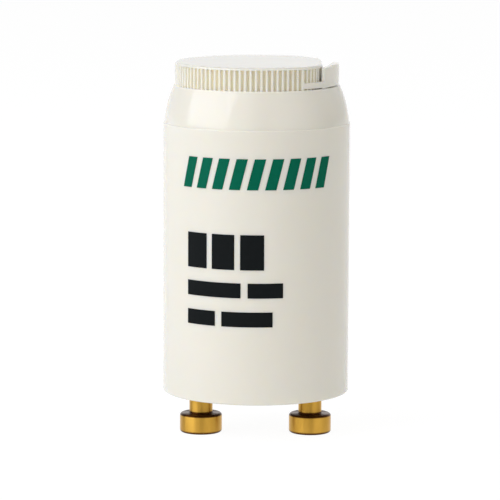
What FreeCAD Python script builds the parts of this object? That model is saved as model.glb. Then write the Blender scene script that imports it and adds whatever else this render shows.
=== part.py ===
import FreeCAD, Part
import math
import os

# Fluorescent lamp starter: a moulded can with a ribbed grip and a click finger, closed from
# below by a disc that carries two turned contact pins. Inside are the glow switch and the
# capacitor, wired in parallel between the pins. Millimetres, +Z up. The origin is on the can's
# axis, in the plane of the pins' flat ends. X runs along the line of the two pins.

# Contact pins; the inset runs from the can's bore to a pin's axis, which spaces the pins 12.7
pin_inset = 3.25
head_diameter = 4.9
head_height = 2.25
head_edge = 0.3
neck_diameter = 2.7
neck_length = 2.8
neck_foot = 0.15
shank_diameter = 2.2
stake_diameter = 3.4
stake_height = 0.5

# Can, outside
can_diameter = 21.5
wall_height = 31.3
rim_edge = 0.2
seam_step = 0.12
cone_height = 4.3
cone_inset = 1.15
cone_bulge = 0.2
shoulder_edge = 0.12
shoulder_ledge = 0.15
grip_height = 2.63
grip_edge = 0.3

# Ribs of the grip
rib_count = 96
groove_share = 0.55
groove_depth = 0.35
rim_band = 0.3

# Pocket in the grip, alike at both ends, and the click finger that stands in it. The shares are of
# the grip's radius, and angles run from the front towards the right.
pocket_depth_share = 0.208
pocket_radius_share = 0.656
pocket_start_deg = 34.0
finger_slit = 0.14
finger_gap = 0.21
finger_turn_deg = 12.7
finger_front_deg = 54.2
finger_end_deg = 96.0
ledge_height = 0.68
ledge_root = 0.15

# Top of the finger: drops from the grip's top, and places of the ramp inwards from its outline
finger_low = 0.25
finger_high = 0.08
finger_fall = 0.12
ramp_foot = 1.25
ramp_head = 0.85

# Can, inside
can_wall = 1.15
top_wall = 1.1
grip_wall = 1.2
seat_depth = 0.35
snap_bead = 0.25
snap_height = 0.25

# Base disc
disc_recess = 0.4
disc_thickness = 1.6
disc_edge = 0.2
barrier_thickness = 1.0
barrier_length = 8.0
barrier_height = 1.5

# Solder tags
tag_thickness = 0.3
tag_washer_diameter = 4.4
tag_width = 2.4
tag_reach = 2.35
tag_height = 3.4
wire_height = 2.4
wire_pitch = 1.0
solder_diameter = 2.3
solder_height = 0.65
lead_stub = 0.45

# Glow switch; its share is of the can's bore, and the gap is to the bore's wall
bulb_share = 0.48
bulb_wall_gap = 1.1
bulb_length = 17.6
bulb_wall = 0.5
bulb_clearance = 6.95
tip_diameter = 1.8
tip_length = 1.4
pinch_width = 6.4
pinch_thickness = 2.2
pinch_length = 3.0
bulb_lead_diameter = 0.6
bulb_lead_spacing = 3.0
bulb_lead_inside = 2.0
rod_diameter = 0.9
rod_length = 6.0
bimetal_width = 1.8
bimetal_thickness = 0.2
bimetal_height = 7.5
contact_gap = 0.25

# Capacitor; its share is of the can's bore, and the gap is to the bore's wall
capacitor_share = 0.23
capacitor_wall_gap = 1.5
capacitor_length = 12.0
capacitor_wrap = 0.3
capacitor_clearance = 4.95
seal_depth = 0.6
capacitor_lead_diameter = 0.5
lead_loop_height = 2.2
sleeve_wall = 0.25
sleeve_standoff = 0.2
bend_radius = 0.5

# Print on the can, each field from its left edge to its right edge and from bottom to top,
# measured round the wall and up from the can's lower rim
ink_thickness = 0.03
green_count = 9
green_share = 0.62
green_slant = 0.9
green_left = -8.9
green_right = 8.9
green_bottom = 24.6
green_height = 3.5
block_count = 3
block_share = 0.8
block_left = -8.6
block_right = 0.9
block_bottom = 15.5
block_height = 4.0
dash_height = 1.7
upper_dash_left = -8.6
upper_dash_right = 3.1
upper_dash_bottom = 12.3
upper_dash_split = 0.62
lower_dash_left = -8.6
lower_dash_right = 1.9
lower_dash_bottom = 9.0
lower_dash_split = 0.4
dash_gap = 0.8

# Fits
hole_clearance = 0.05
disc_clearance = 0.1
wire_clearance = 0.05

# Worked out from the sizes above
can_r = can_diameter / 2
bore_r = can_r - can_wall
rim_z = head_height + neck_length
seam_z = rim_z + wall_height
shoulder_z = seam_z + cone_height
top_z = shoulder_z + grip_height
shoulder_r = can_r - cone_inset
grip_r = shoulder_r - shoulder_ledge
disc_z = rim_z + disc_recess
disc_top_z = disc_z + disc_thickness
seat_r = bore_r + seat_depth
disc_r = seat_r - disc_clearance
pin_x = bore_r - pin_inset
shank_r = shank_diameter / 2
stake_z = disc_top_z + tag_thickness
wire_z = disc_top_z + wire_height
tab_x = pin_x - tag_reach
solder_x = tab_x + tag_thickness
lead_end_x = solder_x + lead_stub
bulb_z = disc_top_z + bulb_clearance
bulb_r = bulb_share * bore_r
bulb_offset = bore_r - bulb_wall_gap - bulb_r
cavity_r = bulb_r - bulb_wall
cavity_z = bulb_z + bulb_wall
bulb_lead_r = bulb_lead_diameter / 2
bulb_lead_x = bulb_lead_spacing / 2
bulb_lead_top = cavity_z + bulb_lead_inside
capacitor_z = disc_top_z + capacitor_clearance
capacitor_top_z = capacitor_z + capacitor_length
capacitor_lead_r = capacitor_lead_diameter / 2
capacitor_r = capacitor_share * bore_r
capacitor_offset = bore_r - capacitor_wall_gap - capacitor_r
seal_r = capacitor_r - capacitor_wrap
sleeve_bore_r = capacitor_lead_r + wire_clearance
sleeve_r = sleeve_bore_r + sleeve_wall
loop_y = capacitor_r + sleeve_standoff + sleeve_r - capacitor_offset
loop_z = capacitor_top_z + lead_loop_height
finger_z = shoulder_z + finger_slit
rib_pitch = 2 * math.pi * grip_r / rib_count
groove_width = groove_share * rib_pitch
rib_width = rib_pitch - groove_width

# Room past a face for a tool that cuts it
over = 1.0

X_AXIS = FreeCAD.Vector(1, 0, 0)
Y_AXIS = FreeCAD.Vector(0, 1, 0)
Z_AXIS = FreeCAD.Vector(0, 0, 1)
ORIGIN = FreeCAD.Vector(0, 0, 0)


def point(x, y, z=0.0):
    return FreeCAD.Vector(x, y, z)


def line(a, b):
    return Part.LineSegment(a, b).toShape()


def arc(a, middle, b):
    return Part.Arc(a, middle, b).toShape()


def round_corner(corner_r, corner_z, radius, from_deg, to_deg):
    """An arc of a profile, round a centre given by radius and height, from one angle to another."""
    def at(degrees):
        turn = math.radians(degrees)
        return point(corner_r + radius * math.cos(turn), 0, corner_z + radius * math.sin(turn))
    return arc(at(from_deg), at((from_deg + to_deg) / 2), at(to_deg))


def turned(edges, x=0.0, y=0.0):
    """A solid of revolution about an upright axis, from the edges of a closed half section."""
    solid = Part.Face(Part.Wire(edges)).revolve(ORIGIN, Z_AXIS, 360)
    solid.translate(point(x, y))
    return solid


def turned_steps(steps, x=0.0, y=0.0):
    """A stepped solid of revolution; steps are (radius, height) corners from the axis back to it."""
    corners = [point(r, 0, z) for r, z in steps]
    edges = [line(a, b) for a, b in zip(corners, corners[1:] + corners[:1])]
    return turned(edges, x, y)


def disc(radius, bottom, top, x=0.0, y=0.0):
    return Part.makeCylinder(radius, top - bottom, point(x, y, bottom), Z_AXIS)


def block(x0, x1, y0, y1, z0, z1):
    return Part.makeBox(x1 - x0, y1 - y0, z1 - z0, point(x0, y0, z0))


def mirrored(shape):
    """The same piece on the other side of the pins' midplane."""
    return shape.mirror(ORIGIN, X_AXIS)


def one_solid(shape):
    """The shape as a single clean solid."""
    return shape.removeSplitter().Solids[0]


def around(radius, degrees, z=0.0):
    """A point on a circle about the can's axis; the angle runs from the front (-Y) towards +X."""
    turn = math.radians(degrees)
    return point(radius * math.sin(turn), -radius * math.cos(turn), z)


# The pocket's curved wall is part of a circle that touches the pocket's flat wall and crosses
# the grip's outline where the pocket starts.
pocket_radius = pocket_radius_share * grip_r
pocket_x = grip_r - pocket_depth_share * grip_r
pocket_start = around(grip_r, pocket_start_deg)
curve_x = pocket_x - pocket_radius
curve_y = pocket_start.y + math.sqrt(pocket_radius ** 2 - (pocket_start.x - curve_x) ** 2)
pocket_end_deg = 180 - pocket_start_deg
curve_start_deg = math.degrees(math.atan2(pocket_start.x - curve_x, curve_y - pocket_start.y))
first_groove_deg = curve_start_deg + math.degrees(rib_pitch / 2 / pocket_radius)
ledge_start_deg = curve_start_deg + math.degrees(rib_width / 4 / pocket_radius)


def on_curve(radius, degrees, z=0.0):
    """A point about the centre of the pocket's curve; the angle runs from the front towards +X."""
    turn = math.radians(degrees)
    return point(curve_x + radius * math.sin(turn), curve_y - radius * math.cos(turn), z)


def can_outside():
    """Straight wall with a rounded rim, a fine rounded step, and the slightly full cone."""
    rim_corner_z = rim_z + rim_edge
    step_z = seam_z - seam_step
    cone_foot = point(can_r - seam_step, 0, seam_z)
    cone_top_z = shoulder_z - shoulder_edge
    cone_top = point(shoulder_r, 0, cone_top_z)
    middle = (cone_foot + cone_top) / 2
    return turned([
        line(point(0, 0, rim_z), point(can_r - rim_edge, 0, rim_z)),
        round_corner(can_r - rim_edge, rim_corner_z, rim_edge, -90, 0),
        line(point(can_r, 0, rim_corner_z), point(can_r, 0, step_z)),
        round_corner(can_r - seam_step, step_z, seam_step, 0, 90),
        arc(cone_foot, point(middle.x + cone_bulge, 0, middle.z), cone_top),
        round_corner(shoulder_r - shoulder_edge, cone_top_z, shoulder_edge, 0, 90),
        line(point(shoulder_r - shoulder_edge, 0, shoulder_z), point(0, 0, shoulder_z)),
        line(point(0, 0, shoulder_z), point(0, 0, rim_z)),
    ])


def can_cavity():
    """The hollow of the can: disc seat with a snap bead, straight bore, cone, and the grip's hollow."""
    slope = (cone_inset - seam_step) / cone_height
    wall_run = can_wall * math.sqrt(1 + slope ** 2)
    cone_start_z = seam_z - (wall_run - can_wall) / slope
    ceiling_z = shoulder_z - top_wall
    ceiling_r = can_r - seam_step - slope * (ceiling_z - seam_z) - wall_run
    bead_r = seat_r - snap_bead
    bead_z = disc_z - snap_height
    hollow = turned_steps([
        (0, rim_z - over), (bead_r + over, rim_z - over), (bead_r, rim_z), (bead_r, bead_z),
        (seat_r, disc_z), (seat_r, disc_top_z), (bore_r, disc_top_z), (bore_r, cone_start_z),
        (ceiling_r, ceiling_z), (0, ceiling_z)])
    grip_hollow_r = grip_r - groove_depth - grip_wall
    grip_hollow = disc(grip_hollow_r, ceiling_z - over, top_z - top_wall)
    flat_x = pocket_x - grip_wall
    grip_hollow = grip_hollow.cut(block(flat_x, can_r, -can_r, can_r, shoulder_z - 2 * over, top_z))
    return hollow.fuse(grip_hollow)


def grip_core():
    """The grip before it is grooved: a drum with a rounded top edge and the pocket in its side."""
    edge_z = top_z - grip_edge
    drum = turned([
        line(point(0, 0, shoulder_z), point(grip_r, 0, shoulder_z)),
        line(point(grip_r, 0, shoulder_z), point(grip_r, 0, edge_z)),
        round_corner(grip_r - grip_edge, edge_z, grip_edge, 0, 90),
        line(point(grip_r - grip_edge, 0, top_z), point(0, 0, top_z)),
        line(point(0, 0, top_z), point(0, 0, shoulder_z)),
    ])
    lip_x = pocket_x - grip_edge
    section = Part.Face(Part.Wire([
        line(point(pocket_x, 0, shoulder_z), point(pocket_x, 0, edge_z)),
        round_corner(lip_x, edge_z, grip_edge, 0, 90),
        line(point(lip_x, 0, top_z), point(lip_x, 0, top_z + over)),
        line(point(lip_x, 0, top_z + over), point(can_r, 0, top_z + over)),
        line(point(can_r, 0, top_z + over), point(can_r, 0, shoulder_z)),
        line(point(can_r, 0, shoulder_z), point(pocket_x, 0, shoulder_z)),
    ]))
    section.translate(point(0, curve_y))
    flat_part = section.extrude(point(0, -2 * curve_y))
    turn = 90 - math.degrees(math.atan2(curve_x, -curve_y))
    curved_part = section.revolve(point(curve_x, curve_y), Z_AXIS, -turn)
    return drum.cut([flat_part, curved_part, curved_part.mirror(ORIGIN, Y_AXIS)])


def groove_tool(foot, outward_deg):
    """A bar that cuts one groove, its floor centred on foot and its length pointing outwards."""
    height = top_z - rim_band - foot.z
    tool = Part.makeBox(groove_width, groove_depth + over, height, point(-groove_width / 2, 0, 0))
    tool.rotate(ORIGIN, Z_AXIS, outward_deg - 180)
    tool.translate(foot)
    return tool


def round_groove_tools():
    """Grooves round the grip, from the pocket's start all the way to its end."""
    step = 360 / rib_count
    last = pocket_end_deg - 360 + step / 2
    angle = pocket_start_deg - math.degrees((rib_width + groove_width / 2) / grip_r)
    tools = []
    while angle > last:
        tools.append(groove_tool(around(grip_r - groove_depth, angle, shoulder_z), angle))
        angle -= step
    return tools


def pocket_groove_tools():
    """Grooves at the same spacing along the pocket's two curved walls."""
    angle = first_groove_deg
    tools = []
    while angle < 90 - math.degrees(groove_width / 2 / pocket_radius):
        tool = groove_tool(on_curve(pocket_radius - groove_depth, angle, shoulder_z), angle)
        tools += [tool, tool.mirror(ORIGIN, Y_AXIS)]
        angle += math.degrees(rib_pitch / pocket_radius)
    return tools


def beyond(distance, degrees, height):
    """A block from a plane outwards; the plane is square to the given angle of the pocket's curve."""
    room = block(0, can_r, -can_r, can_r, finger_z, finger_z + height)
    room.rotate(ORIGIN, Z_AXIS, degrees - 90)
    room.translate(on_curve(distance, degrees))
    return room


def click_finger():
    """The finger: a low ledge along the pocket's curve, then a blade that thins towards its end."""
    front_y = around(grip_r, finger_front_deg).y
    back_y = around(grip_r, finger_end_deg).y
    foot_x = grip_r - ramp_foot
    head_x = grip_r - ramp_head
    low_z = top_z - finger_low
    high_z = top_z - finger_high
    body = disc(grip_r, finger_z, top_z)
    outline = Part.Wire(Part.makePolygon([
        point(0, front_y, finger_z), point(can_r, front_y, finger_z),
        point(can_r, front_y, high_z - finger_fall * (can_r - head_x)), point(head_x, front_y, high_z),
        point(foot_x, front_y, low_z), point(0, front_y, low_z), point(0, front_y, finger_z)]))
    blade = body.common(Part.Face(outline).extrude(point(0, back_y - front_y, 0)))
    blade = blade.common(beyond(pocket_radius + finger_gap, 90 - finger_turn_deg, grip_height))
    ledge = body.common(block(0, can_r, -can_r, front_y, finger_z, finger_z + ledge_height))
    start = block(0, can_r, 0, can_r, finger_z, top_z)
    start.rotate(ORIGIN, Z_AXIS, ledge_start_deg - 90)
    start.translate(point(curve_x, curve_y))
    ledge = ledge.common(start)
    root_r = pocket_radius - groove_depth - ledge_root
    ledge = ledge.cut(disc(root_r, finger_z - over, top_z, curve_x, curve_y))
    return blade.fuse(ledge)


def canister():
    """The can, grip and finger as one moulding, hollow from below."""
    grip = grip_core().cut(pocket_groove_tools())
    shell = can_outside().fuse([grip, click_finger()])
    return one_solid(shell.cut([can_cavity()] + round_groove_tools()))


def base_disc():
    plate = turned([
        line(point(0, 0, disc_z), point(disc_r - disc_edge, 0, disc_z)),
        round_corner(disc_r - disc_edge, disc_z + disc_edge, disc_edge, -90, 0),
        line(point(disc_r, 0, disc_z + disc_edge), point(disc_r, 0, disc_top_z)),
        line(point(disc_r, 0, disc_top_z), point(0, 0, disc_top_z)),
        line(point(0, 0, disc_top_z), point(0, 0, disc_z)),
    ])
    barrier = block(-barrier_thickness / 2, barrier_thickness / 2, -barrier_length / 2,
                    barrier_length / 2, disc_top_z, disc_top_z + barrier_height)
    holes = [disc(shank_r + hole_clearance, disc_z - over, disc_top_z + over, x)
             for x in (-pin_x, pin_x)]
    return one_solid(plate.fuse(barrier).cut(holes))


def contact_pin():
    """The right pin: rounded head, neck, shank through the disc and tag, and the staked tail."""
    head_r = head_diameter / 2
    neck_r = neck_diameter / 2
    stake_r = stake_diameter / 2
    foot_z = head_height + neck_foot
    stake_top = stake_z + stake_height
    return turned([
        line(point(0, 0, 0), point(head_r - head_edge, 0, 0)),
        round_corner(head_r - head_edge, head_edge, head_edge, -90, 0),
        line(point(head_r, 0, head_edge), point(head_r, 0, head_height - head_edge)),
        round_corner(head_r - head_edge, head_height - head_edge, head_edge, 0, 90),
        line(point(head_r - head_edge, 0, head_height), point(neck_r + neck_foot, 0, head_height)),
        round_corner(neck_r + neck_foot, foot_z, neck_foot, -90, -180),
        line(point(neck_r, 0, foot_z), point(neck_r, 0, disc_z)),
        line(point(neck_r, 0, disc_z), point(shank_r, 0, disc_z)),
        line(point(shank_r, 0, disc_z), point(shank_r, 0, stake_z)),
        line(point(shank_r, 0, stake_z), point(stake_r, 0, stake_z)),
        arc(point(stake_r, 0, stake_z), point(stake_r * 0.8, 0, stake_z + stake_height * 0.7),
            point(stake_r * 0.4, 0, stake_top)),
        line(point(stake_r * 0.4, 0, stake_top), point(0, 0, stake_top)),
        line(point(0, 0, stake_top), point(0, 0, 0)),
    ], pin_x)


def solder_tag():
    """The right tag: a washer round the shank, a flat tongue, and a tab folded up with two holes."""
    half = tag_width / 2
    flat = disc(tag_washer_diameter / 2, disc_top_z, stake_z, pin_x)
    flat = flat.fuse(block(tab_x, pin_x, -half, half, disc_top_z, stake_z))
    tab = block(tab_x, solder_x, -half, half, disc_top_z, disc_top_z + tag_height)
    tag = flat.fuse(tab)
    tag = tag.cut(disc(shank_r + hole_clearance, disc_top_z - over, stake_z + over, pin_x))
    for y, wire_r in ((wire_pitch / 2, bulb_lead_r), (-wire_pitch / 2, capacitor_lead_r)):
        tag = tag.cut(Part.makeCylinder(wire_r + wire_clearance, tag_thickness + 2 * over,
                                        point(tab_x - over, y, wire_z), X_AXIS))
    return one_solid(tag)


def wire_along(points, wire_r):
    """A round wire along straight runs, with an arc at each corner."""
    edges = []
    start = points[0]
    for before, corner, after in zip(points, points[1:], points[2:]):
        arrive = (corner - before).normalize()
        leave = (after - corner).normalize()
        enter = corner - arrive * bend_radius
        leave_at = corner + leave * bend_radius
        centre = enter + leave * bend_radius
        middle = centre + (corner - centre).normalize() * bend_radius
        edges.append(line(start, enter))
        edges.append(arc(enter, middle, leave_at))
        start = leave_at
    edges.append(line(start, points[-1]))
    section = Part.Wire(Part.makeCircle(wire_r, points[0], points[1] - points[0]))
    return Part.Solid(Part.Wire(edges).makePipeShell([section], True, True))


def bulb_lead():
    """The right lead-in wire: from the tag, inwards, back, and up through the pinch."""
    y = wire_pitch / 2
    return wire_along([
        point(lead_end_x, y, wire_z), point(bulb_lead_x, y, wire_z),
        point(bulb_lead_x, bulb_offset, wire_z), point(bulb_lead_x, bulb_offset, bulb_lead_top),
    ], bulb_lead_r)


def envelope(radius, bottom, top):
    """An upright capsule on the bulb's axis."""
    across = radius * math.sin(math.pi / 4)
    rise = radius - across
    return turned([
        arc(point(0, 0, bottom), point(across, 0, bottom + rise), point(radius, 0, bottom + radius)),
        line(point(radius, 0, bottom + radius), point(radius, 0, top - radius)),
        arc(point(radius, 0, top - radius), point(across, 0, top - rise), point(0, 0, top)),
        line(point(0, 0, top), point(0, 0, bottom)),
    ], 0, bulb_offset)


def bulb_glass():
    """A blown envelope with a domed foot and top, a sealed tip, and a flat pinch round the wires."""
    top = bulb_z + bulb_length
    half = pinch_thickness / 2
    tip = Part.makeCone(tip_diameter / 2, tip_diameter / 6, tip_length + bulb_wall,
                        point(0, bulb_offset, top - bulb_wall), Z_AXIS)
    pinch = block(-pinch_width / 2, pinch_width / 2, bulb_offset - half, bulb_offset + half,
                  bulb_z - pinch_length, bulb_z + bulb_r / 2)
    glass = envelope(bulb_r, bulb_z, top).fuse([tip, pinch])
    glass = glass.cut(envelope(cavity_r, cavity_z, top - bulb_wall))
    wires = [disc(bulb_lead_r, bulb_z - pinch_length - over, bulb_lead_top, x, bulb_offset)
             for x in (-bulb_lead_x, bulb_lead_x)]
    return one_solid(glass.cut(wires))


def fixed_electrode():
    rod_top = bulb_lead_top + rod_length
    return disc(rod_diameter / 2, bulb_lead_top, rod_top, bulb_lead_x, bulb_offset)


def bimetal_strip():
    """A strip welded flat to the left lead, up, over in a half turn and down beside the rod."""
    weld_x = -bulb_lead_x + bulb_lead_r
    free_x = bulb_lead_x - rod_diameter / 2 - contact_gap
    bend_r = (free_x - weld_x) / 2
    bend_x = (free_x + weld_x) / 2
    bend_z = bulb_lead_top + bimetal_height - bend_r
    weld_z = bulb_lead_top - bulb_lead_inside / 2
    free_z = bulb_lead_top + rod_length / 2
    inner_r = bend_r - bimetal_thickness
    y = bulb_offset - bimetal_width / 2
    outline = Part.Wire([
        line(point(weld_x, y, weld_z), point(weld_x, y, bend_z)),
        arc(point(weld_x, y, bend_z), point(bend_x, y, bend_z + bend_r), point(free_x, y, bend_z)),
        line(point(free_x, y, bend_z), point(free_x, y, free_z)),
        line(point(free_x, y, free_z), point(free_x - bimetal_thickness, y, free_z)),
        line(point(free_x - bimetal_thickness, y, free_z), point(bend_x + inner_r, y, bend_z)),
        arc(point(bend_x + inner_r, y, bend_z), point(bend_x, y, bend_z + inner_r),
            point(bend_x - inner_r, y, bend_z)),
        line(point(bend_x - inner_r, y, bend_z), point(bend_x - inner_r, y, weld_z)),
        line(point(bend_x - inner_r, y, weld_z), point(weld_x, y, weld_z)),
    ])
    return Part.Face(outline).extrude(point(0, bimetal_width, 0))


def capacitor_roll():
    """The wound film in its wrap, which stands proud at both ends and leaves a cup for the seal."""
    y = -capacitor_offset
    roll = disc(capacitor_r, capacitor_z, capacitor_top_z, 0, y)
    cups = [disc(seal_r, capacitor_z - over, capacitor_z + seal_depth, 0, y),
            disc(seal_r, capacitor_top_z - seal_depth, capacitor_top_z + over, 0, y)]
    return one_solid(roll.cut(cups))


def capacitor_seal(bottom):
    """The resin in one end of the roll, with the wire's hole through it."""
    y = -capacitor_offset
    top = bottom + seal_depth
    return disc(seal_r, bottom, top, 0, y).cut(disc(capacitor_lead_r, bottom - over, top + over, 0, y))


def capacitor_lead_lower():
    """From the lower end of the roll down, and round to the left tag."""
    y = -wire_pitch / 2
    return wire_along([
        point(0, -capacitor_offset, capacitor_z + seal_depth), point(0, -capacitor_offset, wire_z),
        point(-bulb_lead_x, -capacitor_offset, wire_z), point(-bulb_lead_x, y, wire_z),
        point(-lead_end_x, y, wire_z),
    ], capacitor_lead_r)


def capacitor_lead_upper():
    """From the upper end of the roll over and down beside it, and round to the right tag."""
    y = -wire_pitch / 2
    return wire_along([
        point(0, -capacitor_offset, capacitor_top_z - seal_depth), point(0, -capacitor_offset, loop_z),
        point(0, loop_y, loop_z), point(0, loop_y, wire_z), point(bulb_lead_x, loop_y, wire_z),
        point(bulb_lead_x, y, wire_z), point(lead_end_x, y, wire_z),
    ], capacitor_lead_r)


def lead_sleeve():
    """Insulating tube on the upright run of the long capacitor wire."""
    bottom = wire_z + 2 * bend_radius
    top = loop_z - 2 * bend_radius
    tube = disc(sleeve_r, bottom, top, 0, loop_y)
    return tube.cut(disc(sleeve_bore_r, bottom - over, top + over, 0, loop_y))


def solder_joint(wires):
    """A flat drop of solder on the outer side of the right tag's tab, round the wires' ends."""
    base_r = solder_diameter / 2
    ball_r = (base_r ** 2 + solder_height ** 2) / (2 * solder_height)
    ball = Part.makeSphere(ball_r, point(solder_x + solder_height - ball_r, 0, wire_z))
    drop = ball.common(block(solder_x, can_r, -can_r, can_r, disc_top_z, top_z))
    return one_solid(drop.cut(wires))


def ink_bar(left, right, bottom, height, slant=0.0):
    """A block through the wall where one bar is printed; left and right are measured round it."""
    half = (right - left) / 2
    low = rim_z + bottom
    high = low + height
    outline = Part.Wire(Part.makePolygon([
        point(-half - slant / 2, over - can_r, low), point(half - slant / 2, over - can_r, low),
        point(half + slant / 2, over - can_r, high), point(slant / 2 - half, over - can_r, high),
        point(-half - slant / 2, over - can_r, low)]))
    bar = Part.Face(outline).extrude(point(0, -2 * over, 0))
    bar.rotate(ORIGIN, Z_AXIS, math.degrees((left + right) / 2 / can_r))
    return bar


def printed(bars):
    """The bars as a thin film on the can's wall."""
    film = disc(can_r + ink_thickness, rim_z, seam_z).cut(disc(can_r, rim_z, seam_z))
    return film.common(Part.makeCompound(bars))


def ink_row(count, share, left, right, bottom, height, slant=0.0):
    """Equal bars between left and right; share is the inked part of the pitch."""
    pitch = (right - left) / (count - 1 + share)
    starts = [left + pitch * index for index in range(count)]
    return [ink_bar(start, start + pitch * share, bottom, height, slant) for start in starts]


def ink_pair(left, right, bottom, split):
    """Two dashes end to end; split is the first one's share of the length."""
    cut = left + (right - left) * split
    return [ink_bar(left, cut - dash_gap / 2, bottom, dash_height),
            ink_bar(cut + dash_gap / 2, right, bottom, dash_height)]


def print_green():
    return printed(ink_row(green_count, green_share, green_left, green_right,
                           green_bottom, green_height, green_slant))


def print_black():
    blocks = ink_row(block_count, block_share, block_left, block_right, block_bottom, block_height)
    upper = ink_pair(upper_dash_left, upper_dash_right, upper_dash_bottom, upper_dash_split)
    lower = ink_pair(lower_dash_left, lower_dash_right, lower_dash_bottom, lower_dash_split)
    return printed(blocks + upper + lower)


def pieces():
    """Every piece of the starter by name."""
    pin = contact_pin()
    tag = solder_tag()
    lead = bulb_lead()
    lower_lead = capacitor_lead_lower()
    upper_lead = capacitor_lead_upper()
    return {
        "canister": canister(),
        "base_disc": base_disc(),
        "contact_pin_left": mirrored(pin),
        "contact_pin_right": pin,
        "solder_tag_left": mirrored(tag),
        "solder_tag_right": tag,
        "bulb_glass": bulb_glass(),
        "bimetal_strip": bimetal_strip(),
        "fixed_electrode": fixed_electrode(),
        "bulb_lead_left": mirrored(lead),
        "bulb_lead_right": lead,
        "capacitor_roll": capacitor_roll(),
        "capacitor_seal_lower": capacitor_seal(capacitor_z),
        "capacitor_seal_upper": capacitor_seal(capacitor_top_z - seal_depth),
        "capacitor_lead_lower": lower_lead,
        "capacitor_lead_upper": upper_lead,
        "lead_sleeve": lead_sleeve(),
        "solder_left": mirrored(solder_joint([lead, mirrored(lower_lead)])),
        "solder_right": solder_joint([lead, upper_lead]),
        "print_green": print_green(),
        "print_black": print_black(),
    }


os.makedirs("parts", exist_ok=True)
for name, shape in pieces().items():
    shape.exportStep("parts/" + name + ".step")
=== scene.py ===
from collections import namedtuple
import math

import bmesh
import bpy
from bpy.props import FloatProperty, IntProperty, PointerProperty, StringProperty
from mathutils import Matrix, Vector


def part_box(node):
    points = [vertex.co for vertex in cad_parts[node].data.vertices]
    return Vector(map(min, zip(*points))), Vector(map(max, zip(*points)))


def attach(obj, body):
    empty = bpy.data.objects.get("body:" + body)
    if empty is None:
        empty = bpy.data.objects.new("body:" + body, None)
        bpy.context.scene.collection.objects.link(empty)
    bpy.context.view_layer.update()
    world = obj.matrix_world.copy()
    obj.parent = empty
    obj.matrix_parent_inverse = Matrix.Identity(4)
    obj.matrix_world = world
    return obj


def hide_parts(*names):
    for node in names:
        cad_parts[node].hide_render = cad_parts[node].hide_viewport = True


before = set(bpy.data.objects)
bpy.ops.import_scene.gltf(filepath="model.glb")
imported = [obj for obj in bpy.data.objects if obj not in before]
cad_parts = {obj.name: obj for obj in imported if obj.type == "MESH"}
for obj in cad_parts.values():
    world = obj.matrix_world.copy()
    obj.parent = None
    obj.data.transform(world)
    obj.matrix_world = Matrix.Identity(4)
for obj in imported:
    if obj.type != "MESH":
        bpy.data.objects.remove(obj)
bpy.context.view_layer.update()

bl_info = {
    "name": "Lamp Starter Looks",
    "version": (1, 0, 0),
    "blender": (4, 5, 0),
    "location": "View3D > Sidebar > Starter",
    "description": "Dresses the packed starter: can, print, pins and inner parts",
    "category": "Object",
}

MM = 0.001
CAN_LOW, CAN_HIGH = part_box("canister")
DISC_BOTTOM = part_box("base_disc")[0].z
PIN_LOW, PIN_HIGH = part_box("contact_pin_right")
GRIP_RADIUS = 9.45 * MM
PIECE_BODY = "root"
SMOOTH_BELOW = math.radians(32)
MERGE_BELOW = 1e-5 * MM

# How far blanks that are joined overlap, how far the grooves' cutters stick out and reach down
OVERLAP = 0.3 * MM
CUTTER_REACH = 1.0 * MM
CUTTER_DROP = 0.05 * MM

# How finely curves are divided, and the step in radians to the ledge's end
CONE_STEPS = 12
ROUND_STEPS, CURVE_STEPS, FLAT_STEPS = 220, 60, 16
BLADE_STEPS = 56
LEDGE_STEPS = 24
LEDGE_SEARCH = 0.002
HOLLOW_STEPS = 96
BAR_COLUMNS, BAR_ROWS = 17, 5


# Settings

def prop(make, **fixed):
    """A kind of property, given by its name, description and default."""
    return lambda name, description, default: make(name=name, description=description,
                                                   default=default, **fixed)


length = prop(FloatProperty, unit="LENGTH", precision=5)
power = prop(FloatProperty, unit="POWER")
share = prop(FloatProperty, subtype="FACTOR")
amount = prop(FloatProperty, min=0.0)
count = prop(IntProperty, min=12)
hex_colour = prop(StringProperty)


def angle(name, description, degrees):
    return FloatProperty(name=name, description=description, default=math.radians(degrees),
                         subtype="ANGLE")


class CanSettings(bpy.types.PropertyGroup):
    radius: length("Radius", "Outer radius of the straight wall", CAN_HIGH.x)
    rim_height: length("Rim Height", "Height of the lower rim above the floor", CAN_LOW.z)
    wall_height: length("Wall Height", "Lower rim to the seam", 31.3 * MM)
    rim_edge: length("Rim Edge", "Rounding of the lower rim", 0.2 * MM)
    seam_step: length("Seam Step", "Step in from the wall to the cone", 0.12 * MM)
    cone_height: length("Cone Height", "Seam to shoulder", 4.3 * MM)
    cone_inset: length("Cone Inset", "How far the cone draws in", 1.15 * MM)
    cone_bulge: length("Cone Bulge", "How full the cone is half way up", 0.2 * MM)
    shoulder_edge: length("Shoulder Edge", "Rounding at the top of the cone", 0.18 * MM)
    thickness: length("Wall Thickness", "Thickness of the moulded wall", 1.15 * MM)
    top_wall: length("Top Wall", "Thickness of the end walls", 1.1 * MM)
    grip_wall: length("Grip Wall", "Thickness of the wall behind the grooves", 1.2 * MM)
    seat_depth: length("Seat Depth", "How far the disc's seat is cut into the wall", 0.35 * MM)
    seat_height: length("Seat Height", "Height of the seat, as thick as the disc", 1.6 * MM)
    snap_bead: length("Snap Bead", "How far the bead holds the disc in", 0.25 * MM)
    segments: count("Segments", "Segments round the can", 288)
    light: hex_colour("Light Plastic", "Lighter of the two shades it drifts between", "#EFEADE")
    dark: hex_colour("Dark Plastic", "Darker of the two shades", "#ECE7DA")
    roughness: share("Roughness", "Roughness of the moulded skin", 0.1)


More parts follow.
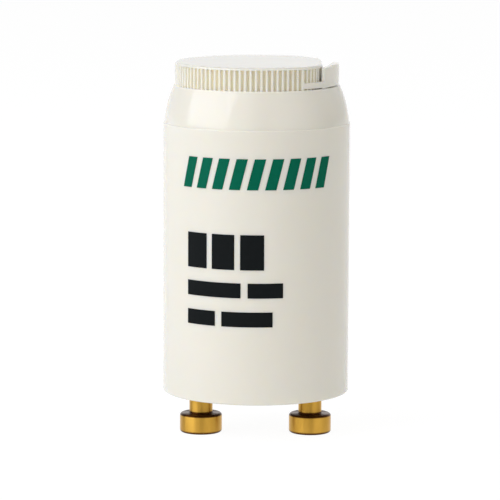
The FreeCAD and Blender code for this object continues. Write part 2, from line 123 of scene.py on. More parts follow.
class GripSettings(bpy.types.PropertyGroup):
    radius: length("Radius", "Radius over the ribs", GRIP_RADIUS)
    edge: length("Top Edge", "Rounding of the top edge", 0.3 * MM)
    rib_count: count("Ribs", "Ribs that would fill the whole round", 96)
    groove_share: share("Groove Share", "Groove width over rib pitch", 0.55)
    groove_depth: length("Groove Depth", "Depth of a groove", 0.35 * MM)
    rib_edge: length("Rib Edge", "Rounding of a rib's long edges", 0.125 * MM)
    # Painted shade: the grooves' floors are painted in this warmer, darker colour
    groove_shade_colour: hex_colour("Groove Colour", "Unpolished floor of a groove", "#F0E9D2")
    groove_roughness: share("Groove Roughness", "Roughness of a groove's floor", 0.5)
    band: length("Rim Band", "Plain band above the grooves", 0.3 * MM)
    pocket_depth: length("Pocket Depth", "Grip outline to the pocket's flat", 0.208 * GRIP_RADIUS)
    pocket_radius: length("Pocket Radius", "Radius of the pocket's curve", 0.656 * GRIP_RADIUS)
    pocket_start: angle("Pocket Start", "Where the pocket begins", 34.0)


class FingerSettings(bpy.types.PropertyGroup):
    slit: length("Slit", "Gap under the finger", 0.14 * MM)
    gap: length("Gap", "Pocket's curve to the blade's inner face", 0.21 * MM)
    turn: angle("Turn", "How far the blade's inner face turns outwards", 12.7)
    ledge: length("Ledge Height", "Height of the ledge that carries the blade", 0.68 * MM)
    root: length("Ledge Root", "How far the ledge runs into the grip", 0.15 * MM)
    front: angle("Front", "Where the blade begins", 54.2)
    end: angle("End", "Where the blade ends", 96.0)
    low: length("Low Drop", "Low part of the blade's top below the grip's top", 0.25 * MM)
    high: length("High Drop", "Head of the ramp below the grip's top", 0.08 * MM)
    fall: share("Fall", "Slope from the head of the ramp outwards", 0.12)
    ramp_foot: length("Ramp Foot", "Ramp's foot, inwards from the grip's outline", 1.25 * MM)
    ramp_head: length("Ramp Head", "Ramp's head, inwards from the grip's outline", 0.85 * MM)
    edge: length("Edge", "Rounding of the blade's outer top edge", 0.15 * MM)
    small_edge: length("Small Edge", "Rounding of its other edges", 0.05 * MM)


class InkSettings(bpy.types.PropertyGroup):
    thickness: length("Ink Thickness", "Thickness of the printed film", 0.03 * MM)
    dash_height: length("Dash Height", "Height of the long dashes", 1.7 * MM)
    dash_gap: length("Dash Gap", "Between two dashes of a row", 0.8 * MM)
    green: hex_colour("Green", "Ink of the upper row", "#005C45")
    thin_green: hex_colour("Thin Green", "The same where the film is thin", "#036A50")
    black: hex_colour("Black", "Ink of the blocks and dashes", "#121516")
    thin_black: hex_colour("Thin Black", "The same where the film is thin", "#171A1B")


class PinSettings(bpy.types.PropertyGroup):
    offset: length("Offset", "From the can's axis to a pin's axis",
                   (PIN_LOW.x + PIN_HIGH.x) / 2)
    head_radius: length("Head Radius", "Radius of the contact head",
                        (PIN_HIGH.x - PIN_LOW.x) / 2)
    head_height: length("Head Height", "Height of the contact head", 2.25 * MM)
    head_edge: length("Head Edge", "Rounding of the head", 0.3 * MM)
    neck_radius: length("Neck Radius", "Radius of the neck", 1.35 * MM)
    neck_foot: length("Neck Foot", "Rounding where the neck meets the head", 0.15 * MM)
    shank_radius: length("Shank Radius", "Radius of the shank in the disc", 1.1 * MM)
    stake_radius: length("Stake Radius", "Radius of the staked tail", 1.7 * MM)
    stake_height: length("Stake Height", "Height of the staked tail", 0.5 * MM)
    stake_edge: length("Stake Edge", "Rounding of the staked tail", 0.15 * MM)
    segments: count("Segments", "Segments round a pin", 128)


class StageSettings(bpy.types.PropertyGroup):
    camera_distance: length("Camera Distance", "Camera to the can's axis", 380 * MM)
    camera_height: length("Camera Height", "Camera above the floor", 74.82 * MM)
    camera_pitch: angle("Camera Pitch", "How far the camera looks down", 8.005)
    camera_turn: angle("Camera Turn", "How far the camera looks to the left", 0.108)
    camera_roll: angle("Camera Roll", "Turn about the line of sight", 0.252)
    lens: amount("Lens", "Focal length in millimetres on a 36 mm sensor", 238.5)
    key_power: power("Key Power", "Power of the soft box at the left", 2.4)
    key_tint: hex_colour("Key Tint", "Colour of the soft box at the left", "#F3F7FF")
    key_angle: angle("Key Angle", "Place of that soft box, from the front to the right", -67)
    top_power: power("Top Power", "Power of the soft box overhead", 0.55)
    top_tint: hex_colour("Top Tint", "Colour of the soft box overhead", "#FFFFFF")
    back_level: amount("Back Level", "Light from the backdrop", 0.5)
    left_level: amount("Left Level", "Light from the pale wall at the left", 0.5)
    right_level: amount("Right Level", "Light from the reflector at the right", 1.0)
    edge_level: amount("Edge Level", "Light from high up behind the right edge", 0.8)
    front_level: amount("Front Level", "Light from the wall behind the camera", 1.0)
    shadow_share: share("Shadow Share", "How much of the floor's own shade is seen", 0.14)
    paper_glow: amount("Paper Glow", "Brightness of the floor as it is seen", 1.09)
    floor: hex_colour("Floor", "Paper that the object stands on", "#F4F4F2")


SETTINGS = {"can": CanSettings, "grip": GripSettings, "finger": FingerSettings,
            "ink": InkSettings, "pins": PinSettings, "stage": StageSettings}


def settings(group):
    return getattr(bpy.context.scene, "starter_" + group)


# Colours, nodes and materials

def colour(hex_code):
    """An sRGB hex colour as linear RGBA."""
    shares = [int(hex_code[i:i + 2], 16) / 255 for i in (1, 3, 5)]
    return [c / 12.92 if c <= 0.04045 else ((c + 0.055) / 1.055) ** 2.4 for c in shares] + [1.0]


def add(tree, kind, inputs=None, **fields):
    """Adds a node, sets its fields, and links its inputs to nodes or sockets or fills them."""
    node = tree.nodes.new(kind)
    for field, value in fields.items():
        setattr(node, field, value)
    for socket, value in (inputs or {}).items():
        if isinstance(value, bpy.types.Node):
            value = value.outputs[0]
        if isinstance(value, bpy.types.NodeSocket):
            tree.links.new(value, node.inputs[socket])
        else:
            node.inputs[socket].default_value = value
    return node


def new_material(name):
    """An empty material; returns it and its node tree."""
    made = bpy.data.materials.new(name)
    made.use_nodes = True
    made.node_tree.nodes.clear()
    return made, made.node_tree


def surface(tree, inputs):
    """Ends a material's tree: one Principled shader with these inputs."""
    shader = add(tree, "ShaderNodeBsdfPrincipled", inputs)
    add(tree, "ShaderNodeOutputMaterial", {"Surface": shader})


def drift(tree, size, low, high, detail=3.0, stretch=(1, 1, 1)):
    """A value or a hex colour that drifts between two, over features of a real size."""
    place = add(tree, "ShaderNodeTexCoord").outputs["Object"]
    scaled = add(tree, "ShaderNodeMapping", {"Vector": place, "Scale": stretch})
    noise = add(tree, "ShaderNodeTexNoise", {"Vector": scaled, "Scale": 1 / size,
                                             "Detail": detail})
    if isinstance(low, str):
        return add(tree, "ShaderNodeMix", {"Factor": noise, "A": colour(low), "B": colour(high)},
                   data_type="RGBA").outputs["Result"]
    return add(tree, "ShaderNodeMapRange", {"Value": noise, "To Min": low, "To Max": high})


def relief(tree, size, depth, strength, detail=3.0, stretch=(1, 1, 1)):
    """Normals of a skin that rises and falls by a real depth over features of a real size."""
    height = drift(tree, size, 0.0, 1.0, detail, stretch)
    return add(tree, "ShaderNodeBump", {"Height": height, "Strength": strength,
                                        "Distance": depth})


def band(tree, value, rise, fall):
    """1 between two heights, with soft ends: one pair to rise between, and one to fall between."""
    foot, head = [add(tree, "ShaderNodeMapRange", {
        "Value": value, "From Min": zero, "From Max": one}, interpolation_type="SMOOTHSTEP")
        for zero, one in (rise, fall[::-1])]
    return add(tree, "ShaderNodeMath", {0: foot, 1: head}, operation="MULTIPLY")


def groove_mask(tree):
    """1 on the floors of the grip's grooves, round the grip and in its pocket: how deep a place
    lies under the outline, up to the plain band above the grooves. It places the grooves' painted
    shade and their higher roughness."""
    grip, levels, pocket = settings("grip"), Levels(), Pocket()
    place = add(tree, "ShaderNodeTexCoord").outputs["Object"]
    parts = add(tree, "ShaderNodeSeparateXYZ", {0: place}).outputs
    flat = add(tree, "ShaderNodeVectorMath", {0: place, 1: (1, 1, 0)}, operation="MULTIPLY")
    away = add(tree, "ShaderNodeVectorMath", {0: flat}, operation="LENGTH").outputs["Value"]
    in_grip = add(tree, "ShaderNodeMath", {0: grip.radius, 1: away}, operation="SUBTRACT")
    folded = add(tree, "ShaderNodeVectorMath", {0: flat}, operation="ABSOLUTE")
    centre = (pocket.centre.x, -pocket.centre.y, 0)
    aside = add(tree, "ShaderNodeVectorMath", {0: folded, 1: centre}, operation="DISTANCE")
    in_pocket = add(tree, "ShaderNodeMath", {0: grip.pocket_radius, 1: aside.outputs["Value"]},
                    operation="SUBTRACT")
    start = around(grip.radius, grip.pocket_start).x
    side = add(tree, "ShaderNodeMath", {0: parts["X"], 1: start}, operation="GREATER_THAN")
    depth = add(tree, "ShaderNodeMix", {"Factor": side, "A": in_grip, "B": in_pocket},
                data_type="FLOAT")
    deep = add(tree, "ShaderNodeMapRange", {"Value": depth, "From Min": grip.rib_edge,
                                            "From Max": grip.groove_depth},
               interpolation_type="SMOOTHSTEP")
    upright = band(tree, parts["Z"], (levels.shoulder, levels.shoulder + grip.rib_edge),
                   (levels.top - grip.band, levels.top - grip.band / 2))
    return add(tree, "ShaderNodeMath", {0: deep, 1: upright}, operation="MULTIPLY")


def moulded_polycarbonate():
    """Pale polycarbonate, injection moulded in a polished tool: an even gloss, and a colour that
    drifts a little over some millimetres as the melt flowed. Light enters it a little way. The
    grip's grooves are duller, left unpolished by the tool's cutter, and painted warmer and darker
    as painted shade in the recesses."""
    can, grip = settings("can"), settings("grip")
    made, tree = new_material("moulded_polycarbonate")
    groove = groove_mask(tree)
    skin = drift(tree, 7 * MM, can.dark, can.light, 2.0, (1, 1, 0.4))
    # Painted shade: the groove floors take the darker groove colour; their higher roughness is real
    hue = add(tree, "ShaderNodeMix", {"Factor": groove, "A": skin,
                                      "B": colour(grip.groove_shade_colour)},
              data_type="RGBA").outputs["Result"]
    gloss = drift(tree, 2.5 * MM, can.roughness - 0.02, can.roughness + 0.02)
    dull = add(tree, "ShaderNodeMix", {"Factor": groove, "A": gloss, "B": grip.groove_roughness},
               data_type="FLOAT")
    surface(tree, {"Base Color": hue, "Roughness": dull, "IOR": 1.5, "Subsurface Weight": 0.7,
                   "Subsurface Radius": (1.0, 0.85, 0.6), "Subsurface Scale": 0.7 * MM})
    return made


def printed_ink(name, film, thin):
    """Pad printed ink: a flat film that takes up the light, much less glossy than the plastic,
    and a little uneven where the pad lifted."""
    made, tree = new_material(name)
    surface(tree, {"Base Color": drift(tree, 0.5 * MM, film, thin, 4.0),
                   "Roughness": drift(tree, 0.3 * MM, 0.35, 0.45, 2.0),
                   "IOR": 1.5, "Specular IOR Level": 0.05})
    return made


def turned_brass():
    """Brass, turned on a lathe: fine rings round the axis, so that light spreads up
    and down the side in soft upright bands. It is bright on the turned sides; the face under the
    can and both rounded edges are painted dark brown as painted shade, for dark reflections there."""
    pins = settings("pins")
    top, edge, foot = pins.head_height, pins.head_edge, pins.neck_foot
    ring_pitch, along_rings = 0.06 * MM, (0.02, 0.02, 1)
    made, tree = new_material("turned_brass")
    place = add(tree, "ShaderNodeTexCoord").outputs["Object"]
    height = add(tree, "ShaderNodeSeparateXYZ", {0: place}).outputs["Z"]
    # Painted shade: bands over the face under the can and over both rounded edges
    upper = band(tree, height, (top - edge, top - edge / 2), (top + foot, top + 2 * foot))
    lower = band(tree, height, (-edge, 0.0), (edge / 2, 1.3 * edge))
    painted_shade = add(tree, "ShaderNodeMath", {0: upper, 1: lower}, operation="MAXIMUM")
    bright = drift(tree, 1.5 * MM, "#BE8E33", "#D8AB4E", 3.0, (1, 1, 0.3))
    # Painted shade: those bands are painted dark brown in place of the dark reflections there
    hue = add(tree, "ShaderNodeMix", {"Factor": painted_shade, "A": bright, "B": colour("#4A2A10")},
              data_type="RGBA").outputs["Result"]
    surface(tree, {"Base Color": hue, "Metallic": 1.0, "Anisotropic": 0.95,
                   "Anisotropic Rotation": 0.25,
                   "Tangent": add(tree, "ShaderNodeTangent", direction_type="RADIAL", axis="Z"),
                   "Roughness": drift(tree, ring_pitch, 0.28, 0.4, 2.0, along_rings),
                   "Normal": relief(tree, ring_pitch, 0.004 * MM, 0.35, 2.0, along_rings)})
    return made


def plain_metal(name, low, high, roughness, size):
    """Bright metal, drawn or rolled or frozen, with fine streaks along it."""
    made, tree = new_material(name)
    gloss = drift(tree, size / 3, roughness - 0.08, roughness + 0.08, 3.0, (1, 1, 0.2))
    surface(tree, {"Base Color": drift(tree, size, low, high), "Metallic": 1.0,
                   "Roughness": gloss})
    return made


def plain_solid(name, low, high, roughness, size):
    """A moulded, cast or wound piece without metal: a mottled colour and a fine skin."""
    made, tree = new_material(name)
    surface(tree, {"Base Color": drift(tree, size, low, high, 4.0), "Roughness": roughness,
                   "IOR": 1.5, "Normal": relief(tree, size / 5, 0.01 * MM, 0.5)})
    return made


def blown_glass():
    """Soda glass, blown and pinched: clear and smooth, with a slight wave from the blowing."""
    made, tree = new_material("blown_glass")
    surface(tree, {"Base Color": colour("#F4FAF7"), "Roughness": 0.02, "IOR": 1.52,
                   "Transmission Weight": 1.0,
                   "Normal": relief(tree, 4 * MM, 0.02 * MM, 0.5, 1.0)})
    return made


# Meshes

def around(radius, turn, height=0.0, centre=(0.0, 0.0)):
    """A point about an upright axis; the angle runs from the front (-Y) towards +X."""
    x, y = radius * math.sin(turn), -radius * math.cos(turn)
    return Vector((centre[0] + x, centre[1] + y, height))


def spread(first, last, steps):
    """Evenly spaced values from the first to the last."""
    return [first + (last - first) * i / steps for i in range(steps + 1)]


def rounding(radius_at, height_at, radius, from_deg, to_deg, steps=6):
    """Points of an arc in a section, as (radius, height) pairs."""
    turns = [math.radians(degrees) for degrees in spread(from_deg, to_deg, steps)]
    return [(radius_at + radius * math.cos(t), height_at + radius * math.sin(t)) for t in turns]


def link(name, data):
    """A new object of the data at the origin."""
    made = bpy.data.objects.new(name, data)
    bpy.context.scene.collection.objects.link(made)
    return made


def object_from(bm, name):
    """An object at the origin from a bmesh, its doubles merged and its faces turned outwards."""
    bmesh.ops.remove_doubles(bm, verts=bm.verts, dist=MERGE_BELOW)
    bmesh.ops.recalc_face_normals(bm, faces=bm.faces)
    mesh = bpy.data.meshes.new(name)
    bm.to_mesh(mesh)
    bm.free()
    return link(name, mesh)


def bridge(bm, low, high):
    """Faces between two rings of equally many vertices."""
    for i in range(len(low)):
        j = (i + 1) % len(low)
        bm.faces.new((low[i], low[j], high[j], high[i]))


def lofted(name, rings):
    """A closed solid through rings of equally many points, flat at both ends."""
    bm = bmesh.new()
    loops = [[bm.verts.new(place) for place in ring] for ring in rings]
    for low, high in zip(loops, loops[1:]):
        bridge(bm, low, high)
    bm.faces.new(loops[0])
    bm.faces.new(loops[-1])
    return object_from(bm, name)


def turned(name, section, steps, x=0.0):
    """A solid of revolution about an upright axis, from a section that starts and ends on it."""
    bm = bmesh.new()
    loops = [[bm.verts.new(around(r, 2 * math.pi * i / steps, z, (x, 0.0))) for i in range(steps)]
             for r, z in section[1:-1]]
    for low, high in zip(loops, loops[1:]):
        bridge(bm, low, high)
    for loop, (_, z) in ((loops[0], section[0]), (loops[-1], section[-1])):
        pole = bm.verts.new((x, 0.0, z))
        for i in range(steps):
            bm.faces.new((loop[i], loop[(i + 1) % steps], pole))
    return object_from(bm, name)


def plain_mesh(made, name, made_of=None):
    """Turns an object and its modifiers into a plain mesh in a new object."""
    graph = bpy.context.evaluated_depsgraph_get()
    mesh = bpy.data.meshes.new_from_object(made.evaluated_get(graph), depsgraph=graph)
    mesh.name = name
    if made_of:
        mesh.materials.clear()
        mesh.materials.append(made_of)
    bpy.data.objects.remove(made)
    return link(name, mesh)


def finish_piece(made, name, made_of, node):
    """Smooth shading with crisp edges, the material, and the piece's place in the frame."""
    made.data.shade_smooth()
    made.data.set_sharp_from_angle(angle=SMOOTH_BELOW)
    even = made.modifiers.new("even", "WEIGHTED_NORMAL")
    even.keep_sharp = True
    piece = plain_mesh(made, name, made_of)
    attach(piece, PIECE_BODY)
    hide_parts(node)


# Geometry trees

def new_tree(name, sockets):
    """A geometry tree with named inputs, given as (name, socket type, default)."""
    tree = bpy.data.node_groups.new(name, "GeometryNodeTree")
    tree.interface.new_socket("Geometry", in_out="INPUT", socket_type="NodeSocketGeometry")
    for label, kind, default in sockets:
        socket = tree.interface.new_socket(label, in_out="INPUT", socket_type="NodeSocket" + kind)
        if default is not None:
            socket.default_value = default
    tree.interface.new_socket("Geometry", in_out="OUTPUT", socket_type="NodeSocketGeometry")
    return tree, tree.nodes.new("NodeGroupInput").outputs


def close_tree(tree, geometry, made_of):
    """Ends a tree: real geometry in one material."""
    real = add(tree, "GeometryNodeRealizeInstances", {"Geometry": geometry})
    painted = add(tree, "GeometryNodeSetMaterial", {"Geometry": real, "Material": made_of})
    add(tree, "NodeGroupOutput", {"Geometry": painted})


def run_tree(made, tree, values):
    """Gives the object the tree as a modifier, its inputs set by identifier."""
    modifier = made.modifiers.new(tree.name, "NODES")
    modifier.node_group = tree
    for item in tree.interface.items_tree:
        if item.in_out == "INPUT" and item.name in values:
            modifier[item.identifier] = values[item.name]
    return made


def notches_tree():
    """Repeats the object's own mesh at equal angles on an arc, turned to face outwards."""
    tree, given = new_tree("notches_on_arc", [
        ("Count", "Int", 10), ("Front", "Vector", (0, -10 * MM, 0)),
        ("Centre", "Vector", (0, 0, 0)), ("Start Angle", "Float", 0.0),
        ("Step Angle", "Float", 0.1), ("Material", "Material", None)])
    points = add(tree, "GeometryNodePoints", {"Count": given["Count"]})
    index = add(tree, "GeometryNodeInputIndex")
    turn = add(tree, "ShaderNodeMath", {0: index, 1: given["Step Angle"], 2: given["Start Angle"]},
               operation="MULTIPLY_ADD")
    place = add(tree, "ShaderNodeVectorRotate", {
        "Vector": given["Front"], "Center": given["Centre"], "Angle": turn},
        rotation_type="Z_AXIS")
    placed = add(tree, "GeometryNodeSetPosition", {"Geometry": points, "Position": place})
    facing = add(tree, "ShaderNodeCombineXYZ", {"Z": turn})
    copies = add(tree, "GeometryNodeInstanceOnPoints", {
        "Points": placed, "Instance": given["Geometry"], "Rotation": facing})
    close_tree(tree, copies, given["Material"])
    return tree


def printed_row_tree():
    """A row of equal bars of ink, slanted if wanted and laid round the can's wall."""
    tree, given = new_tree("printed_row", [
        ("Count", "Int", 1), ("Bar Size", "Vector", (MM, MM, MM)), ("First", "Vector", (0, 0, 0)),
        ("Pitch", "Float", MM), ("Lean", "Float", 0.0), ("Wall Radius", "Float", 10 * MM),
        ("Material", "Material", None)])
    bar = add(tree, "GeometryNodeMeshCube", {"Size": given["Bar Size"],
                                             "Vertices X": BAR_COLUMNS, "Vertices Z": BAR_ROWS})
    step = add(tree, "ShaderNodeCombineXYZ", {"X": given["Pitch"]})
    spots = add(tree, "GeometryNodeMeshLine", {
        "Count": given["Count"], "Start Location": given["First"], "Offset": step})
    copies = add(tree, "GeometryNodeInstanceOnPoints", {"Points": spots, "Instance": bar})
    flat = add(tree, "GeometryNodeRealizeInstances", {"Geometry": copies})
    position = add(tree, "GeometryNodeInputPosition")
    where = add(tree, "ShaderNodeSeparateXYZ", {0: position}).outputs
    middle = add(tree, "ShaderNodeSeparateXYZ", {0: given["First"]}).outputs["Z"]
    above = add(tree, "ShaderNodeMath", {0: where["Z"], 1: middle}, operation="SUBTRACT")
    across = add(tree, "ShaderNodeMath", {0: above, 1: given["Lean"], 2: where["X"]},
                 operation="MULTIPLY_ADD")
    turn = add(tree, "ShaderNodeMath", {0: across, 1: given["Wall Radius"]}, operation="DIVIDE")
    upright = add(tree, "ShaderNodeCombineXYZ", {"Y": where["Y"], "Z": where["Z"]})
    bent = add(tree, "ShaderNodeVectorRotate", {"Vector": upright, "Angle": turn},
               rotation_type="Z_AXIS")
    wrapped = add(tree, "GeometryNodeSetPosition", {"Geometry": flat, "Position": bent})
    close_tree(tree, wrapped, given["Material"])
    return tree


# The can

class Levels:
    """Heights of the can that follow from its settings."""
    def __init__(self):
        can = settings("can")
        self.seam = can.rim_height + can.wall_height
        self.shoulder = self.seam + can.cone_height
        self.ceiling = self.shoulder - can.top_wall
        self.top = CAN_HIGH.z


class Pocket:
    """The pocket's curve: a circle that touches its flat and crosses the grip's outline."""
    def __init__(self):
        grip = settings("grip")
        self.flat_x = grip.radius - grip.pocket_depth
        start = around(grip.radius, grip.pocket_start)
        x = self.flat_x - grip.pocket_radius
        y = start.y + math.sqrt(grip.pocket_radius ** 2 - (start.x - x) ** 2)
        self.centre = Vector((x, y))
        self.pitch = 2 * math.pi * grip.radius / grip.rib_count
        self.groove = grip.groove_share * self.pitch
        curve_start = math.atan2(start.x - x, y - start.y)
        self.first_groove = curve_start + self.pitch / 2 / grip.pocket_radius
        self.ledge_start = curve_start + (self.pitch - self.groove) / 4 / grip.pocket_radius


def shell_section():
    """The can's wall in section: outside from shoulder to rim, then inside to the ceiling."""
    can, levels = settings("can"), Levels()
    shoulder_r = can.radius - can.cone_inset
    edge, step, rim = can.shoulder_edge, can.seam_step, can.rim_edge
    foot = Vector((can.radius - step, levels.seam))
    head = Vector((shoulder_r, levels.shoulder - edge))
    slope = (foot.x - head.x) / (head.y - foot.y)
    run = can.thickness * math.sqrt(1 + slope ** 2)
    bore = can.radius - can.thickness
    ceiling_r = foot.x - slope * (levels.ceiling - levels.seam) - run
    seat_r, seat_top = bore + can.seat_depth, DISC_BOTTOM + can.seat_height
    bead_r = seat_r - can.snap_bead
    outside = [(0.0, levels.shoulder)] + rounding(shoulder_r - edge, head.y, edge, 90, 0)
    for way in spread(1.0, 0.0, CONE_STEPS)[1:-1]:
        place = foot.lerp(head, way)
        outside.append((place.x + 4 * can.cone_bulge * way * (1 - way), place.y))
    outside += rounding(can.radius - step, levels.seam - step, step, 90, 0)
    outside += rounding(can.radius - rim, can.rim_height + rim, rim, 0, -90)
    inside = [(bead_r, can.rim_height), (bead_r, DISC_BOTTOM - can.snap_bead),
              (seat_r, DISC_BOTTOM), (seat_r, seat_top), (bore, seat_top),
              (bore, levels.seam - (run - can.thickness) / slope), (ceiling_r, levels.ceiling),
              (0.0, levels.ceiling)]
    return outside + inside


def grip_ring(inset, height):
    """The grip's outline moved inwards: near curve, the pocket's flat, far curve, the round."""
    grip, pocket = settings("grip"), Pocket()
    round_r = grip.radius - inset
    curve_r = grip.pocket_radius - inset
    cx, cy = pocket.centre
    apart = pocket.centre.length
    along = (apart ** 2 + round_r ** 2 - curve_r ** 2) / (2 * apart)
    across = math.sqrt(round_r ** 2 - along ** 2)
    corner = Vector((cx * along - cy * across, cy * along + cx * across)) / apart
    start = math.atan2(corner.x, -corner.y)
    curve_start = math.atan2(corner.x - cx, cy - corner.y)
    near = [around(curve_r, turn, height, pocket.centre)
            for turn in spread(curve_start, math.pi / 2, CURVE_STEPS)]
    far = [Vector((p.x, -p.y, p.z)) for p in reversed(near)]
    flat = [near[-1].lerp(far[0], way) for way in spread(0.0, 1.0, FLAT_STEPS)[1:-1]]
    back = [around(round_r, turn, height)
            for turn in spread(math.pi - start, 2 * math.pi + start, ROUND_STEPS)[1:-1]]
    return near + flat + far + back


def grip_core():
    """The grip before it is grooved, with its top edge rounded."""
    grip, levels = settings("grip"), Levels()
    corner = rounding(0.0, levels.top - grip.edge, grip.edge, 0, 90)
    rings = [grip_ring(0.0, levels.shoulder - OVERLAP)]
    rings += [grip_ring(grip.edge - out, height) for out, height in corner]
    return lofted("grip_blank", rings)


def notch_section():
    """One groove's cutter seen from above, outwards towards -Y: rounded floor and flared mouth."""
    grip = settings("grip")
    edge, depth, half = grip.rib_edge, grip.groove_depth, Pocket().groove / 2
    right = rounding(half - edge, edge, edge, -90, 0, 3)
    right += rounding(half + edge, depth - edge, edge, 180, 90, 4)
    right.append((half + edge, depth + CUTTER_REACH))
    return [(x, -y) for x, y in right] + [(-x, -y) for x, y in reversed(right)]


def grip_notches():
    """All cutters of the grooves: round the grip, and along the pocket's two curves."""
    grip, levels, pocket = settings("grip"), Levels(), Pocket()
    tree, section = notches_tree(), notch_section()
    bottom, top = levels.shoulder - CUTTER_DROP, levels.top - grip.band
    step = 2 * math.pi / grip.rib_count
    start = grip.pocket_start - (pocket.pitch - pocket.groove / 2) / grip.radius
    last = -math.pi - grip.pocket_start + step / 2
    curve_step = pocket.pitch / grip.pocket_radius
    room = math.pi / 2 - pocket.groove / 2 / grip.pocket_radius - pocket.first_groove
    cx, cy = pocket.centre
    curve_count = math.ceil(room / curve_step)
    arcs = [(math.ceil((start - last) / step), grip.radius, 0.0, 0.0, start, -step),
            (curve_count, grip.pocket_radius, cx, cy, pocket.first_groove, curve_step),
            (curve_count, grip.pocket_radius, cx, -cy, math.pi - pocket.first_groove, -curve_step)]
    cutters = []
    for copies, radius, x, y, first, turn in arcs:
        cutter = lofted("notches", [[Vector((*corner, z)) for corner in section]
                                    for z in (bottom, top)])
        cutters.append(run_tree(cutter, tree, {
            "Count": copies, "Front": (x, y + grip.groove_depth - radius, 0.0),
            "Centre": (x, y, 0.0), "Start Angle": first, "Step Angle": turn}))
    return cutters


def finger_blade():
    """The finger's upright blade: flat inside, round outside, its top a low step, a ramp and a
    fall. Its sections stand across Y, and draw in at both ends for the rounding."""
    grip, finger, levels = settings("grip"), settings("finger"), Levels()
    front, back = [around(grip.radius, mark).y for mark in (finger.front, finger.end)]
    foot, head = grip.radius - finger.ramp_foot, grip.radius - finger.ramp_head
    edge, small = finger.edge, finger.small_edge
    cx, cy = Pocket().centre

    def top_at(x):
        climb = min(max((x - foot) / (head - foot), 0.0), 1.0)
        drop = finger.low + (finger.high - finger.low) * climb + finger.fall * max(x - head, 0.0)
        return levels.top - drop

    def section(y, shrink):
        outer = math.sqrt(grip.radius ** 2 - y ** 2) - shrink
        away = grip.pocket_radius + finger.gap + (y - cy) * math.sin(finger.turn)
        inner = cx + away / math.cos(finger.turn) + shrink
        low = levels.shoulder + finger.slit + shrink
        bends = [min(max(x, inner + small), outer - edge)
                 for x in (head + small, head - small, foot + small, foot - small)]
        pairs = rounding(outer - small, low + small, small, -90, 0, 4)
        pairs += rounding(outer - edge, top_at(outer - edge) - shrink - edge, edge, 0, 90)
        pairs += [(x, top_at(x) - shrink) for x in bends]
        pairs += rounding(inner + small, top_at(inner + small) - shrink - small, small, 90, 180, 4)
        pairs += rounding(inner + small, low + small, small, 180, 270, 4)
        return [Vector((x, y, z)) for x, z in pairs]

    ends = rounding(small, small, small, 180, 270, 3)[:-1]
    stations = [(front + along, inset) for along, inset in ends]
    stations += [(y, 0.0) for y in spread(front + small, back - small, BLADE_STEPS)]
    stations += [(back - along, inset) for along, inset in reversed(ends)]
    return lofted("blade_blank", [section(*station) for station in stations])


def finger_ledge():
    """The low ledge that carries the blade, from the pocket's corner rib to the blade's front."""
    grip, finger, levels, pocket = settings("grip"), settings("finger"), Levels(), Pocket()
    cx, cy = pocket.centre
    bottom = levels.shoulder + finger.slit
    top = bottom + finger.ledge
    root = grip.pocket_radius - grip.groove_depth - finger.root
    front = around(grip.radius, finger.front).y + finger.edge
    edge = finger.small_edge

    def reach(turn):
        towards = cx * math.sin(turn) - cy * math.cos(turn)
        return -towards + math.sqrt(towards ** 2 - cx ** 2 - cy ** 2 + grip.radius ** 2)

    end = pocket.ledge_start
    while around(reach(end), end, 0.0, pocket.centre).y < front:
        end += LEDGE_SEARCH
    rings = []
    for turn in spread(pocket.ledge_start, end, LEDGE_STEPS):
        out = reach(turn) - edge
        pairs = [(root, bottom)] + rounding(out, bottom + edge, edge, -90, 0, 4)
        pairs += rounding(out, top - edge, edge, 0, 90, 4) + [(root, top)]
        rings.append([around(r, turn, z, pocket.centre) for r, z in pairs])
    return lofted("ledge_blank", rings)


def grip_hollow():
    """The hollow inside the grip, flat beside the pocket and open to the can below."""
    grip, can, levels = settings("grip"), settings("can"), Levels()
    radius = grip.radius - grip.groove_depth - can.grip_wall
    half = math.asin((Pocket().flat_x - can.grip_wall) / radius)
    turns = spread(math.pi - half, 2 * math.pi + half, HOLLOW_STEPS)
    return lofted("hollow_blank", [[around(radius, turn, z) for turn in turns]
                                   for z in (levels.ceiling - OVERLAP, levels.top - can.top_wall)])


class STARTER_OT_can(bpy.types.Operator):
    """Mould the can with its ribbed grip and click finger, all in one piece"""
    bl_idname = "starter.can"
    bl_label = "Mould the Can"
    bl_options = {"REGISTER", "UNDO"}

    def execute(self, context):
        can = settings("can")
        shell = turned("shell_blank", shell_section(), can.segments)
        core = grip_core()
        steps = [("DIFFERENCE", cutter) for cutter in grip_notches()]
        steps += [("UNION", finger_ledge()), ("UNION", finger_blade()), ("UNION", shell),
                  ("DIFFERENCE", grip_hollow())]
        for operation, blank in steps:
            cut = core.modifiers.new(operation.lower(), "BOOLEAN")
            cut.operation = operation
            cut.solver = "EXACT"
            cut.object = blank
        moulding = plain_mesh(core, "can_moulding")
        for _, blank in steps:
            bpy.data.objects.remove(blank)
        finish_piece(moulding, "can_moulding", moulded_polycarbonate(),
                     "canister")
        return {"FINISHED"}


# The print: rows of equal bars, in millimetres round the wall and up from the can's rim

Row = namedtuple("Row", "count share left right bottom height slant")
GREEN_ROW = Row(9, 0.62, -8.9, 8.9, 24.6, 3.5, 0.9)
BLOCK_ROW = Row(3, 0.8, -8.6, 0.9, 15.5, 4.0, 0.0)
Dashes = namedtuple("Dashes", "left right bottom split")
DASH_ROWS = [Dashes(-8.6, 3.1, 12.3, 0.62), Dashes(-8.6, 1.9, 9.0, 0.4)]


def dash_rows():
    """Each row of two dashes as two single bars."""
    ink = settings("ink")
    height, half = ink.dash_height / MM, ink.dash_gap / MM / 2
    rows = []
    for left, right, bottom, split in DASH_ROWS:
        cut = left + (right - left) * split
        rows += [Row(1, 1.0, left, cut - half, bottom, height, 0.0),
                 Row(1, 1.0, cut + half, right, bottom, height, 0.0)]
    return rows


